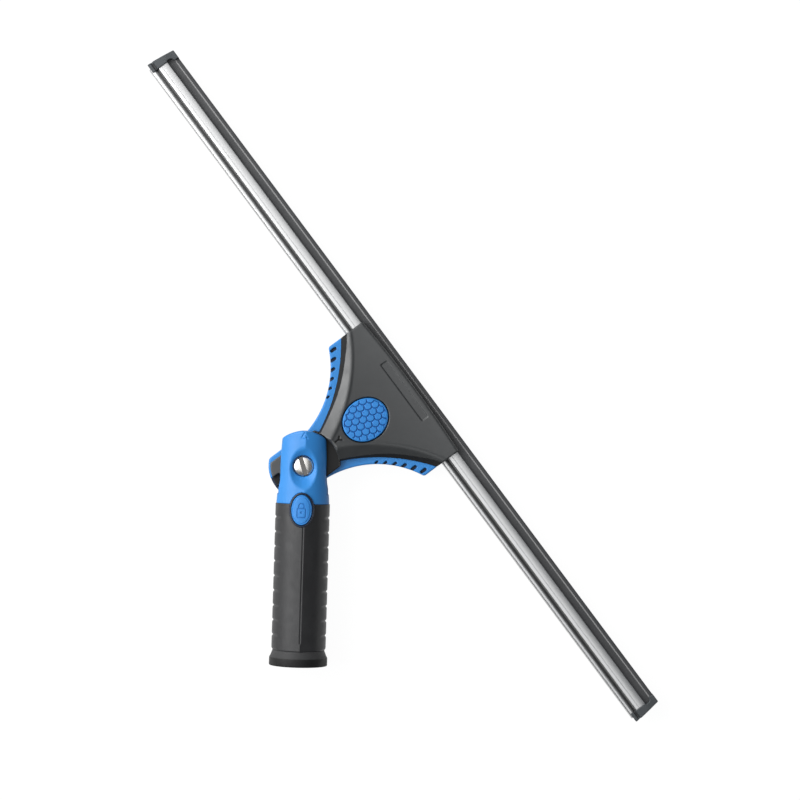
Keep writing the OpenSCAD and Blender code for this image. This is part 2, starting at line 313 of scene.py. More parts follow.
def hexagon(x, y):
    """Distance from the centre, measured square to a hexagon's nearest side."""
    return np.maximum(np.abs(y), np.abs(x) * 0.866 + np.abs(y) * 0.5)


def outside_arc(u, v, arc):
    """How far a point lies past one of the head's two mirrored side arcs."""
    return arc[2] - np.hypot(np.abs(u) - arc[0], v - arc[1])


def ramp(x, low, high):
    """0 below low, 1 above high, and smooth between them."""
    t = np.clip((x - low) / (high - low), 0, 1)
    return t * t * (3 - 2 * t)


# -------------------------------------------------------------- materials


class Nodes:
    """A node material being built, with short names for what the finishes share."""

    def __init__(self, name):
        self.material = bpy.data.materials.new(name)
        self.material.use_nodes = True
        self.tree = self.material.node_tree
        self.shader = self.tree.nodes["Principled BSDF"]
        self.coords = self.add("ShaderNodeTexCoord").outputs["Object"]

    def add(self, kind, **values):
        node = self.tree.nodes.new(kind)
        for key, value in values.items():
            setattr(node, key, value)
        return node

    def join(self, out, socket):
        self.tree.links.new(out, socket)

    def stretched(self, x, y, z):
        mapping = self.add("ShaderNodeMapping")
        mapping.inputs["Scale"].default_value = (x, y, z)
        self.join(self.coords, mapping.inputs["Vector"])
        return mapping.outputs["Vector"]

    def noise(self, scale, detail=4, rough=0.55, vector=None):
        node = self.add("ShaderNodeTexNoise")
        node.inputs["Scale"].default_value = scale
        node.inputs["Detail"].default_value = detail
        node.inputs["Roughness"].default_value = rough
        self.join(vector or self.coords, node.inputs["Vector"])
        return node.outputs["Fac"]

    def fit(self, out, low, high, start=0.3, end=0.7):
        node = self.add("ShaderNodeMapRange")
        node.inputs["From Min"].default_value = start
        node.inputs["From Max"].default_value = end
        node.inputs["To Min"].default_value = low
        node.inputs["To Max"].default_value = high
        self.join(out, node.inputs["Value"])
        return node.outputs["Result"]

    def blend(self, share, a, b):
        node = self.add("ShaderNodeMix", data_type="RGBA")
        self.join(share, node.inputs["Factor"])
        for socket, value in ((node.inputs[6], a), (node.inputs[7], b)):
            if isinstance(value, tuple):
                socket.default_value = (*value, 1)
            else:
                self.join(value, socket)
        return node.outputs[2]

    def bump(self, *layers):
        """Stacks (height, strength, distance in mm) layers of bump."""
        normal = None
        for height, strength, distance in layers:
            node = self.add("ShaderNodeBump")
            node.inputs["Strength"].default_value = strength
            node.inputs["Distance"].default_value = distance * MM
            self.join(height, node.inputs["Height"])
            if normal is not None:
                self.join(normal, node.inputs["Normal"])
            normal = node.outputs["Normal"]
        self.join(normal, self.shader.inputs["Normal"])

    # Reads the stored mask of painted shade and painted highlight.
    def tone(self):
        return self.add("ShaderNodeAttribute", attribute_name="tone").outputs["Fac"]

    def set(self, **values):
        for key, value in values.items():
            self.shader.inputs[key.replace("_", " ")].default_value = value


def shade(colour, factor):
    return tuple(c * factor for c in colour)


def plastic(name, colour, rough=0.42, grain=0.25, vary=0.08, painted_shade=None, specular=0.5):
    """Moulded plastic: fine spark grain, faint flow marks and rubbed patches."""
    n = Nodes(name)
    cloud = n.fit(n.noise(35, 3), 0, 1)
    tint = n.blend(cloud, shade(colour, 1 - vary), shade(colour, 1 + vary))
    # painted shade: a darker colour is laid where the mask is high, in recesses and shaded places
    if painted_shade is not None:
        tint = n.blend(n.tone(), tint, painted_shade)
    n.join(tint, n.shader.inputs["Base Color"])
    n.join(n.fit(n.noise(160, 5), rough - 0.06, rough + 0.06), n.shader.inputs["Roughness"])
    n.bump((n.noise(2600, 2), grain, 0.03), (n.noise(300, 3), grain * 0.4, 0.04))
    n.set(Specular_IOR_Level=specular)
    return n.material


def rubber(name, colour, rough=0.55, dust=0.12, specular=0.45, grain=0.3, painted_light_colour=None):
    """Soft rubber: matt skin, pale dust in patches and a very fine grain."""
    n = Nodes(name)
    patches = n.fit(n.noise(55, 6, 0.65), 0, dust)
    tint = n.blend(patches, colour, (0.2, 0.2, 0.21))
    # painted light: a second colour laid where the mask is high, darker for painted shade and lighter for a
    # painted highlight
    if painted_light_colour is not None:
        tint = n.blend(n.tone(), tint, painted_light_colour)
    n.join(tint, n.shader.inputs["Base Color"])
    n.join(n.fit(n.noise(210, 5), rough - 0.07, rough + 0.07), n.shader.inputs["Roughness"])
    n.bump((n.noise(3200, 3), grain, 0.03), (n.noise(420, 3), grain * 0.5, 0.03))
    n.set(Specular_IOR_Level=specular)
    return n.material


def brushed(name, colour, along=(1, 1, 1), rough=0.3, depth=0.12, vary=0.09, wave=0.03, painted_shade=None):
    """Metal with fine scratches along the axis whose scale is small."""
    n = Nodes(name)
    lines = n.noise(1, 4, 0.6, n.stretched(*along))
    tint = n.blend(n.fit(lines, 0, 1), shade(colour, 1 - vary), shade(colour, 1 + vary))
    # painted shade: a darker colour is laid where the mask is high, in grooves and slots
    if painted_shade is not None:
        tint = n.blend(n.tone(), tint, painted_shade)
    n.join(tint, n.shader.inputs["Base Color"])
    n.join(n.fit(lines, rough - vary, rough + vary), n.shader.inputs["Roughness"])
    n.bump((lines, depth, 0.02), (n.noise(90, 3), wave, 0.1))
    n.set(Metallic=1.0)
    return n.material


BLUE = (0.034, 0.245, 0.65)
# painted shade: a darker blue laid inside the head's grip slots and the tail's sunk middle
BLUE_PLASTIC = plastic("moulded_blue", BLUE, 0.42, 0.12, 0.05, painted_shade=(0.004, 0.014, 0.045), specular=0.4)
# painted shade: a darker blue laid in the sunk padlock sign and the sunk scale lines of the release button
BLUE_SOFT = plastic("soft_blue", (0.032, 0.235, 0.64), 0.5, 0.2, 0.06, painted_shade=(0.006, 0.08, 0.3), specular=0.4)
# painted shade: a darker colour on the shell's side strip, pocket floor, tail and sunk mark
SHELL = plastic("shell_grey", (0.02, 0.0222, 0.0235), 0.46, 0.15, 0.1, painted_shade=(0.01, 0.01, 0.01), specular=1.0)
# painted shade: a duller, less glossy copy of the shell plastic for the shaded strip, pocket floor, tail and
# sunk mark
SHELL_SHADED = plastic("shell_shaded", (0.02, 0.02, 0.02), 0.7, 0.2, 0.1, specular=0.15)
BEZEL = plastic("bezel_navy", (0.008, 0.014, 0.035), 0.38, 0.15)
CORE = plastic("core_black", (0.02, 0.02, 0.022), 0.45)
# painted shade: a darker colour in the clip's shallow groove beside the bead
CLIP = plastic("clip_grey", (0.052, 0.059, 0.064), 0.47, 0.1, painted_shade=(0.01, 0.01, 0.011))
ACETAL = plastic("acetal_white", (0.75, 0.75, 0.73), 0.35, 0.1, 0.03)
GRIP = rubber("grip_black", (0.016, 0.016, 0.017), 0.45, 0.05)
# painted shade: the collar's rim is given a darker colour
COLLAR = rubber("collar_black", (0.04, 0.04, 0.041), 0.55, 0.05, specular=0.25, painted_light_colour=(0.009, 0.009, 0.009))
# painted highlight: a light grey for the line along the rubber's step
BLADE = rubber("blade_black", (0.034, 0.035, 0.037), 0.5, 0.08, grain=0.05, painted_light_colour=(0.27, 0.27, 0.27))
# painted shade: a darker metal colour for the groove beside the bead, standing in for its shade and dark
# reflection
CHANNEL = brushed("channel_metal", (0.66, 0.66, 0.66), (15, 4000, 4000), 0.38, 0.02, 0.02, 0, (0.2, 0.2, 0.2))
# painted shade: the slot of the screw head is given a darker metal colour
STAINLESS = brushed("stainless_turned", (0.74, 0.72, 0.69), (900, 900, 900), 0.25, 0.01, 0.04, 0,
                    (0.14, 0.135, 0.13))
STEEL = brushed("zinc_steel", (0.5, 0.5, 0.51), (400, 400, 400), 0.35)
WIRE = brushed("spring_wire", (0.4, 0.4, 0.41), (900, 900, 900), 0.3)
BRONZE = brushed("sintered_bronze", (0.55, 0.38, 0.18), (1500, 1500, 1500), 0.45, 0.3)


# ------------------------------------------------------------ handle shape

GRIP_LOW, GRIP_HIGH = span("grip_sleeve")
GRIP_R = GRIP_HIGH[0]
CORE_R = span("handle_core")[1][0]
CORE_TOP = span("handle_core")[1][1]
YOKE_LOW, YOKE_HIGH = span("yoke")
YOKE_R = YOKE_HIGH[2]
PIVOT_Y = PIVOT.y / MM
CHEEK_R = YOKE_HIGH[1] - PIVOT_Y
CHEEK_HALF = 13.0
FORK_HALF, FORK_R = 5.6, 20.9
SINK_R, SINK_Z = 5.95, 7.6
DISH_Z, DISH_SLOPE, DISH_SHIFT = 10.6, 1.51, 1.6
NUT_HALF = 5.1
WELL_Z = 7.7
RIB_COUNT, RIB_PITCH, RIB_DROP = 10, 8.17, 7.7
LOCK_LOW, LOCK_HIGH = span("lock_button")
LOCK_Y = (LOCK_LOW[1] + LOCK_HIGH[1]) / 2
LOCK_HALF = ((LOCK_HIGH[0] - LOCK_LOW[0]) / 2, (LOCK_HIGH[1] - LOCK_LOW[1]) / 2)
BEZEL_LOW, BEZEL_HIGH = span("button_bezel")
BEZEL_HALF = (BEZEL_HIGH[0], (BEZEL_HIGH[1] - BEZEL_LOW[1]) / 2)


SEAM_TURN = math.radians(4.5)


def keel(angle, height):
    """How far the section pulls in beside its soft front ridge, for an angle from the front."""
    a = np.abs(angle)
    return height * (a / 0.5 * np.exp(1 - a / 0.5)) * (1 - ramp(a, 0.8, 1.5))


def make_grip():
    ribs = [GRIP_HIGH[1] - RIB_DROP - RIB_PITCH * k for k in range(RIB_COUNT)]
    fine = np.arange(-5, 5.01, 0.25)
    coarse = np.arange(7, 354, 2)
    angles = np.radians(np.concatenate([fine, coarse]))
    turn = (angles + math.pi) % (2 * math.pi) - math.pi
    side = ramp(np.abs(turn), 0.9, 1.25) * (1 - ramp(np.abs(turn), 1.9, 2.25))
    low, high = GRIP_LOW[1], GRIP_HIGH[1]
    rows = np.arange(low + 0.4, high - 0.3, 0.3)
    heights = np.concatenate([[low, low, low + 0.15], rows, [high - 0.15, high, high]])
    loops = []
    for i, y in enumerate(heights):
        r = GRIP_R - keel(turn, 0.9)
        notch = sum(0.66 * np.exp(-(((y - rib) / 0.6) ** 2)) for rib in ribs)
        r = r - side * notch
        seam = ramp(y, 12.5, 13.5) * (1 - ramp(y, 78.5, 79.5))
        r = r - seam * 0.42 * np.exp(-((turn * GRIP_R / 0.42) ** 2))
        if i in (0, len(heights) - 1):
            r = np.full_like(turn, CORE_R)
        elif i in (1, len(heights) - 2):
            r = r - 0.25
        elif i in (2, len(heights) - 3):
            r = r - 0.06
        loops.append(np.stack([r * np.sin(turn), np.full_like(turn, y), r * np.cos(turn)], 1))
    for loop in loops:
        x, z = loop[:, 0].copy(), loop[:, 2].copy()
        loop[:, 0] = x * math.cos(SEAM_TURN) + z * math.sin(SEAM_TURN)
        loop[:, 2] = z * math.cos(SEAM_TURN) - x * math.sin(SEAM_TURN)
    piece = rings("grip", loops, HERE, "ring")
    column = [[(BEZEL_HALF[0] * math.cos(t), LOCK_Y + BEZEL_HALF[1] * math.sin(t), z)
               for t in np.linspace(0, 2 * math.pi, 96, False)] for z in (9, 20)]
    cut(piece, rings("cutter", column, HERE, "caps"))
    return settle(piece, "grip_sleeve", "handle", GRIP)


def make_collar():
    high = span("end_collar")[1]
    r, top, neck = high[0], high[1], GRIP_R - 0.6
    section = [(CORE_R, 0), (r - 0.6, 0), (r - 0.25, 0.08), (r - 0.06, 0.3), (r, 0.7), (r, 2.4)]
    section += [(r, 4.0), (r - 0.06, 4.4), (r - 0.2, 4.75), (r - 0.8, 5.9), (neck + 0.3, 7.5)]
    section += [(neck + 0.05, 8.0), (neck, top), (CORE_R, top)]
    # painted shade: the rim below the flare is darkened, standing in for the shade on it
    piece = with_painted_light(turned("collar", section), lambda x, y, z: 1 - ramp(y, 4.3, 4.9))
    return settle(piece, "end_collar", "handle", COLLAR)


def make_core():
    bore, step = CORE_R - 1.9, YOKE_LOW[1] - 0.2
    section = [(bore + 0.05, 0.02), (CORE_R - 0.2, 0.0), (CORE_R, 0.2), (CORE_R, CORE_TOP),
               (bore - 0.4, CORE_TOP), (bore - 0.4, step), (bore, step), (bore, 0.4)]
    return settle(turned("pole_tube", section), "handle_core", "handle", CORE)


def yoke_field(x, y, z):
    q = y - PIVOT_Y
    angle = np.arctan2(x, np.maximum(z, 0.01)) - SEAM_TURN
    squared = x * (1 - 0.035 * (1 - ramp(q, -13, -4)))
    barrel = np.hypot(squared, z) - YOKE_R + np.where(z > 0, keel(angle, 0.8), 0)
    half = CHEEK_HALF + 1.35 * (1 - ramp(q, -15, -8)) + 0.5 * (1 - ramp(q, -21.5, -15))
    half = half - 0.75 * ramp(q, 3, 16)
    plan = smax(np.abs(x) - half, np.where(q > 0, np.hypot(x, q) - CHEEK_R, -99), 0.8)
    body = smax(barrel, plan, 1.0)
    body = np.maximum(body, GRIP_HIGH[1] + 0.02 - y)
    round_end = np.where(q > 0, -FORK_R, np.hypot(x, q) - FORK_R)
    gap = np.maximum(slab(z, -FORK_HALF, FORK_HALF), round_end)
    body = smax(body, -gap, 0.6)
    # the oval dish round the screw, with its straight counterbore
    ring = np.hypot(x, q + DISH_SHIFT)
    dish = (ring - SINK_R - DISH_SLOPE * (z - DISH_Z)) / math.hypot(1, DISH_SLOPE)
    body = smax(body, -np.maximum(dish, 8 - z), 0.9)
    body = smax(body, -np.maximum(np.hypot(x, q) - SINK_R, SINK_Z - z), 0.25)
    body = np.maximum(body, -(np.hypot(x, q) - 3.6))
    # hexagonal pocket for the nut
    body = smax(body, -np.maximum(hexagon(x, q) - NUT_HALF, z + 9.5), 0.4)
    # arrow mark above the dish
    tip, foot = PIVOT_Y + 18.3, PIVOT_Y + 15.3
    left, right = (-1.2, foot), (2, foot)
    mark = np.minimum(segment(x, y, (0.4, tip), left), segment(x, y, (0.4, tip), right))
    mark = np.minimum(mark, segment(x, y, left, right) + 0.12)
    body = body + np.where(z > 0, 0.38 * (1 - ramp(mark, 0.15, 0.45)), 0)
    # spigot inside the grip
    r = np.hypot(x, z)
    spigot = np.maximum(r - CORE_R + 0.02, slab(y, CORE_TOP + 0.1, GRIP_HIGH[1] + 0.5))
    plug = np.maximum(r - 9.98, slab(y, YOKE_LOW[1], CORE_TOP + 0.5))
    body = np.minimum(body, np.minimum(spigot, plug))
    body = np.maximum(body, -np.maximum(r - 6.5, y - GRIP_HIGH[1] + 2))
    well = oval(x, y - LOCK_Y, BEZEL_HALF[0], BEZEL_HALF[1])
    body = np.maximum(body, -np.maximum(well, 10.6 - z))
    inner = oval(x, y - LOCK_Y, LOCK_HALF[0] + 0.25, LOCK_HALF[1] + 0.25)
    return np.maximum(body, -np.maximum(inner, WELL_Z - z))


def make_yoke():
    piece = moulded("yoke", yoke_field, YOKE_LOW, YOKE_HIGH, 0.36)
    return settle(piece, "yoke", "handle", BLUE_PLASTIC)


def bezel_field(x, y, z):
    q = y - LOCK_Y
    top = np.hypot(x, z) - YOKE_R - 0.55
    ring = np.maximum(oval(x, q, *BEZEL_HALF), -oval(x, q, LOCK_HALF[0] + 0.15, LOCK_HALF[1] + 0.15))
    return np.maximum(smax(top, ring, 0.7), 10.65 - z)


def make_bezel():
    piece = moulded("button_rim", bezel_field, BEZEL_LOW, BEZEL_HIGH, 0.17)
    return settle(piece, "button_bezel", "handle", BEZEL)


def padlock(x, q):
    """Distance from the lines of a plain padlock sign."""
    body = np.abs(rounded_box(x, q + 1.6, 2.3, 2.5, 0.5))
    shackle = np.where(q > 2.2, np.abs(np.hypot(x, q - 2.2) - 1.45), np.abs(np.abs(x) - 1.45))
    shackle = np.where(q < 0.9, 99, shackle)
    hole = np.hypot(x, q + 1.3) - 0.35
    return np.minimum(np.minimum(body, shackle), np.maximum(hole, 0))


def lock_field(x, y, z):
    q = y - LOCK_Y
    rim = oval(x, q, *LOCK_HALF)
    top = np.hypot(x, z) - YOKE_R - 1.2
    shape = smax(top, rim, 1.3)
    shape = shape + np.where(z > 13, 0.22 * (1 - ramp(np.abs(rim + 0.95), 0.1, 0.4)), 0)
    sign = 0.3 * (1 - ramp(padlock(x, q), 0.12, 0.42))
    shape = shape + np.where((z > 13) & (rim < -1.4), sign, 0)
    return np.maximum(shape, 10.32 - z)


def make_lock_button():
    def paint(x, y, z):
        # painted shade: the sunk padlock sign is darkened
        sign = 1 - ramp(padlock(x, y - LOCK_Y), 0.12, 0.5)
        return 0.45 * sign * (oval(x, y - LOCK_Y, *LOCK_HALF) < -1.2)

    piece = moulded("lock_push_button", lock_field, LOCK_LOW, LOCK_HIGH, 0.16, HERE, paint)
    return settle(piece, "lock_button", "lock_button", BLUE_SOFT)


SLOT_TURN = math.radians(-71.3)
DOME_R, DOME_DROP = 13.75, 3.2


def across_slot(x, q):
    return q * math.cos(SLOT_TURN) - x * math.sin(SLOT_TURN)


def screw_field(x, y, z):
    q = y - PIVOT_Y
    r = np.hypot(x, q)
    dome = np.sqrt(r ** 2 + (z + DOME_DROP) ** 2) - DOME_R
    head = np.maximum(smax(dome, r - 5.5, 0.5), 8.3 - z)
    head = smax(head, -np.maximum(np.abs(across_slot(x, q)) - 1.2, 9.45 - z), 0.15)
    shaft = np.maximum(r - 3.5, slab(z, -9.2, 8.4))
    thread = r - 2.86 - 0.12 * np.cos(2 * math.pi * (z / 1.0 + np.arctan2(q, x) / (2 * math.pi)))
    thread = np.maximum(thread, slab(z, -12.7, -9.1))
    return np.minimum(head, np.minimum(shaft, thread))


def make_screw():
    low, high = span("pivot_screw")

    def paint(x, y, z):
        # painted shade: the slot is darkened
        q = y - PIVOT_Y
        return (1 - ramp(np.abs(across_slot(x, q)), 1.0, 1.3)) * (np.hypot(x, q) < 5.6) * (z > 9)

    piece = moulded("tension_screw", screw_field, low, high, 0.14, HERE, paint)
    return settle(piece, "pivot_screw", "tension_screw", STAINLESS)


# -------------------------------------------------------------- head shape

BASE_ARC = (67.5, 0.5, 54.6)
SHELL_ARC = (104.7, -27.0, 104.7)
RIDGE_ARC = (88.8, -19.4, 94.7)
HEAD_HALF = span("head_base", HEAD)[1][0]
SHELL_LOW, SHELL_HIGH = span("head_shell", HEAD)
BASE_LOW, BASE_HIGH = span("head_base", HEAD)
EDGE = SHELL_HIGH[1]
EDGE_R = 717.5
POCKET_R, BUSH_R, CHEEK_Z = 20, 5, 4.8
TONGUE_R, TONGUE_HALF, TONGUE_Z = 18.4, 12.3, 1.22
KNUCKLE_R, KNUCKLE_HALF = 19.7, 14.75
JAW_V = 59
PANEL_V, PANEL_HALF = 69.6, (19.5, 2.1)
SCREW_U, SCREW_V = 24, 52
BACK = BASE_LOW[2]
CHAN_LOW, CHAN_HIGH = span("channel", HEAD)
CHAN_Z = (CHAN_LOW[2] + CHAN_HIGH[2]) / 2
BUTTON_LOW, BUTTON_HIGH = span("release_button", HEAD)
BUTTON_V = (BUTTON_LOW[1] + BUTTON_HIGH[1]) / 2
BUTTON_HALF = ((BUTTON_HIGH[0] - BUTTON_LOW[0]) / 2, (BUTTON_HIGH[1] - BUTTON_LOW[1]) / 2)


def face_z(v):
    """Height of the shell's face; it falls in a soft curve towards the rubber."""
    return 0.2 + 10 * (np.maximum(EDGE - v, 0) / (EDGE - 20)) ** 1.6


def split_z(v):
    """Height of the joint between base and shell."""
    return 1.2 - 5.2 * np.clip((v - 16) / 43, 0, 1)


def front_edge(u, v):
    return np.hypot(u, v - EDGE + EDGE_R) - EDGE_R


def channel_room(v, z):
    """The slot that the channel slides in, with lips that hold it."""
    dv = v - CHAN_LOW[1]
    room = np.maximum(slab(dv, -0.2, 11.2), slab(z, CHAN_LOW[2] - 0.05, CHAN_HIGH[2] + 0.1))
    return np.minimum(room, np.maximum(-dv, np.abs(z - CHAN_Z) - 1.9))


def strip_width(v):
    """Width of the steep strip along the shell's sides, which is darkened as painted shade."""
    return 1.2 + 1.3 * ramp(v, 20, 52) + 0.9 * ramp(v, 50, 64)


def index_mark(u, v):
    """Distance from the small forked mark beside the pivot."""
    fork = np.minimum(*(segment(u, v, (0, 24.2), (side, 25.8)) for side in (-1.2, 1.2)))
    return np.minimum(fork, segment(u, v, (0, 22.2), (0, 24.2)))


def shell_field(u, v, z):
    past = outside_arc(u, v, RIDGE_ARC)
    rim = -outside_arc(u, v, SHELL_ARC)
    face = face_z(v) - 0.35 * ramp(-past, 0.0, 2.2)
    bevel = face_z(v) - 0.62 * past
    top = smin(face, bevel, 0.9)
    foot = split_z(v) + 0.9
    share = 1 - np.clip(rim / strip_width(v), 0, 1)
    body = (z - top - (foot - top) * share) * np.where(share > 0, 0.5, 0.85)
    body = smax(body, -rim, 0.5)
    body = smax(body, front_edge(u, v), 1.8)
    body = smax(body, np.abs(u) - HEAD_HALF, 0.7)
    floor = np.where(v < JAW_V, split_z(v), CHAN_LOW[2] - 0.05)
    body = np.maximum(body, floor + 0.03 - z)
    body = np.maximum(body, -channel_room(v, z))
    # pocket that the yoke's cheek turns in, with a chamfered edge
    r = np.hypot(u, v)
    flare = ramp(z, face_z(v) - 1.4, face_z(v) - 0.2)
    pocket = np.maximum(r - POCKET_R - flare, CHEEK_Z - z)
    body = smax(body, -pocket, 0.3)
    # tongue over the knuckle; its middle is sunk at the tail
    layer = np.maximum(np.abs(u) - TONGUE_HALF, slab(z, TONGUE_Z, CHEEK_Z))
    tongue = np.maximum(r - TONGUE_R, layer)
    tongue = smax(tongue, -np.maximum(np.maximum(np.abs(u) - 5, v + 13.5), 2.4 - z), 0.4)
    neck = np.maximum(np.maximum(r - 20.5, layer), -v)
    body = np.minimum(body, np.minimum(tongue, neck))
    body = np.maximum(body, BUSH_R - r)
    # well of the release button
    well = oval(u, v - BUTTON_V, BUTTON_HALF[0] + 0.45, BUTTON_HALF[1] + 0.45)
    body = smax(body, -well, 0.5)
    # blank name plate: a shallow sunk panel near the rubber
    panel = rounded_box(u, v - PANEL_V, *PANEL_HALF, 0.6)
    body = body + 0.32 * (1 - ramp(panel, -0.25, 0.15)) * (z > -3)
    return body + 0.4 * (1 - ramp(index_mark(u, v), 0.2, 0.5)) * (z > 5)


def shell_shade_paint(u, v, z):
    # painted shade: the steep side strip, the sunk mark, the pocket floor round the cheek and the tail's sunk
    # middle are darkened
    rim = -outside_arc(u, v, SHELL_ARC)
    strip = 1 - ramp(rim - strip_width(v), -0.2, 0.35)
    strip = strip * (np.hypot(u, v) > POCKET_R + 0.2)
    sink = (1 - ramp(index_mark(u, v), 0.25, 0.6)) * (z > 5)
    pocket = (1 - ramp(np.hypot(u, v), 19.6, 20.1)) * (v > 0)
    tail = 0.9 * (1 - ramp(np.abs(u), 4.8, 5.1)) * (v < -13)
    return np.maximum.reduce([strip, sink, pocket, tail])


def make_shell():
    piece = moulded("head_cover", shell_field, SHELL_LOW, SHELL_HIGH, 0.4, HEAD, shell_shade_paint)
    return shade_faces(settle(piece, "head_shell", "head", SHELL), SHELL_SHADED)


# centre and half length of each grip slot
SLOTS = [(42.0, 50.4, 1.9), (37.6, 47.0, 1.8), (33.3, 43.4, 1.6),
         (29.4, 39.8, 1.3), (25.8, 36.0, 1.0), (22.6, 32.2, 0.8)]


def slots(u, v):
    """Distance from the row of grip slots in the border, which shrink towards the neck."""
    found = np.full(np.shape(u), 99.0)
    for su, sv, half in SLOTS:
        middle, reach = sv + 1.2, half * 0.6
        along = segment(np.abs(u), v, (su, middle - reach), (su, middle + reach))
        found = np.minimum(found, along - 0.36 - 0.25 * half)
    return found


def base_field(u, v, z):
    rim = outside_arc(u, v, BASE_ARC)
    r = np.hypot(u, v)
    wide = smax(np.maximum(rim, -v - 6), np.abs(u) - HEAD_HALF, 1.2)
    knuckle = smax(r - KNUCKLE_R, np.maximum(np.abs(u) - KNUCKLE_HALF, v), 0.8)
    plan = smin(wide, knuckle, 1.0)
    plan = np.maximum(plan, front_edge(u, v))
    low = BACK + 1.8 * (1 - ramp(v, 14, 50))
    body = smax(plan, z - split_z(v), 0.9)
    body = smax(body, low - z, 1.6)
    floor = np.maximum(slab(z, BACK, CHAN_LOW[2] - 0.05), plan)
    body = np.where(v > JAW_V, smax(floor, BACK - z, 1.2), body)
    body = np.maximum(body, -channel_room(v, z))
    # room for both cheeks and the bush
    body = smax(body, -np.maximum(r - POCKET_R, CHEEK_Z - z), 0.4)
    body = smax(body, -np.maximum(r - POCKET_R, z + CHEEK_Z), 0.4)
    body = np.maximum(body, BUSH_R - r)
    # the tail's rim is cut away in the middle
    body = smax(body, -np.maximum(np.maximum(np.abs(u) - 5.2, v + 16.5), -1.5 - z), 0.4)
    well = oval(u, v - BUTTON_V, BUTTON_HALF[0] + 0.4, BUTTON_HALF[1] + 0.4)
    body = np.maximum(body, -np.maximum(well, -6 - z))
    slot = slots(u, v)
    body = smax(body, -np.maximum(slot, split_z(v) - 1.8 - z), 0.25)
    # counterbores of the two screws, and three shallow ribs on the back
    for side in (-1, 1):
        hole = np.hypot(u - side * SCREW_U, v - SCREW_V)
        body = smax(body, -np.maximum(hole - 3.3, z + 11.2), 0.4)
    for line in (26, 32, 38):
        groove = np.maximum(np.abs(v - line) - 0.7, np.abs(u) - (line - 14))
        body = smax(body, -np.maximum(groove, z - low - 0.8), 0.5)
    return body


def base_shade_paint(u, v, z):
    # painted shade: the insides of the grip slots and the tail's sunk middle are darkened
    sink = (1 - ramp(slots(u, v), -0.1, 0.25)) * (z > split_z(v) - 2.2)
    tail = (1 - ramp(np.abs(u), 5.0, 5.3)) * (v < -16.2)
    return np.maximum(sink, tail)


def make_base():
    piece = moulded("head_base_blue", base_field, BASE_LOW, BASE_HIGH, 0.42, HEAD, base_shade_paint)
    return settle(piece, "head_base", "head", BLUE_PLASTIC)


def scales(u, q):
    """Distance from the outlines of the scale texture, whose rows run askew across the button."""
    pitch, spacing, depth = 4.2, 3.37, 1.9
    half = pitch / 2
    along = 0.4 * u + 0.916 * q + 1.14
    down = 0.916 * u - 0.4 * q + 0.16
    near = np.full(np.shape(u), 99.0)
    first = np.floor(down / spacing)
    for k in (-1, 0, 1):
        row = first + k
        da = (along + (row % 2) * half + half) % pitch - half
        db = down - row * spacing
        tip = np.where(db > 0, np.abs(oval(da, db, half, depth)), 99)
        side = np.where((db <= 0) & (db > depth - spacing), half - np.abs(da), 99)
        near = np.minimum(near, np.minimum(tip, side))
    return near


def release_field(u, v, z):
    q = v - BUTTON_V
    rim = oval(u, q, *BUTTON_HALF)
    crown = face_z(v) + 0.75 - 0.5 * (np.hypot(u / 11.5, q / 13.2) ** 2)
    top = (z - crown) * 0.95
    shape = smax(top, rim, 0.9)
    lines = 0.36 * (1 - ramp(scales(u, q), 0.12, 0.5)) * (rim < -0.75)
    shape = np.maximum(shape + np.where(z > crown - 1.2, lines, 0), 0.02 - z)
    stem = np.maximum(np.hypot(u, q) - 3, slab(z, BUTTON_LOW[2] + 0.02, 0.5))
    return np.minimum(shape, stem)


def make_release():
    def paint(u, v, z):
        # painted shade: the sunk scale lines are darkened
        inside = oval(u, v - BUTTON_V, *BUTTON_HALF) < -0.7
        return (1 - ramp(scales(u, v - BUTTON_V), 0.1, 0.5)) * (z > 0.5) * inside

    piece = moulded("channel_release_button", release_field, BUTTON_LOW, BUTTON_HIGH, 0.19,
                    HEAD, paint)
    return settle(piece, "release_button", "release_button", BLUE_SOFT)


# ------------------------------------------------------------- blade shape


def arc_points(v, z, r, start, end, count):
    """Points of an arc about (v, z), in degrees from +v towards +z."""
    turns = np.radians(np.linspace(start, end, count))
    return [(v + r * math.cos(t), z + r * math.sin(t)) for t in turns]


def shifted(section):
    return [(v + CHAN_LOW[1], z + CHAN_Z) for v, z in section]


def make_channel():
    upper = arc_points(1.75, 0, 1.75, 180, 80, 14)
    for k in range(1, 11):
        fall = 0.5 + 0.5 * math.cos(math.pi * k / 10)
        upper.append((2.05 + 2.5 * k / 10, 0.6 + 1.13 * fall))
    upper += [(4.75, 0.6), (4.85, 0.75)]
    upper += arc_points(5.35, 2.7, 0.5, 180, 90, 5)
    upper += [(6.9, 3.2), (7.02, 3.12), (7.14, 3.2), (10.6, 3.2)]
    upper += [(10.95, 3.0), (11, 2.7), (11, 1.15), (10.8, 1.0)]
    cavity = [(9.1, 1.0)] + arc_points(7.4, 0, 1.9, 32, 178, 12)
    half = upper + cavity
    section = half + [(v, -z) for v, z in reversed(half)][1:-1]
    cuts = np.linspace(CHAN_LOW[0], CHAN_HIGH[0], 25)
    piece = smooth(extruded("channel_extrusion", shifted(section), cuts, HEAD))
    piece.data.set_sharp_from_angle(angle=math.radians(32))

    def paint(u, v, z):
        # painted shade: the groove beside the bead is darkened, standing in for its shade and dark reflection
        dv = v - CHAN_LOW[1]
        return ramp(dv, 2.4, 3.9) * (1 - ramp(dv, 4.9, 5.15))

    with_painted_light(piece, paint)
    return settle(piece, "channel", "blade", CHANNEL)


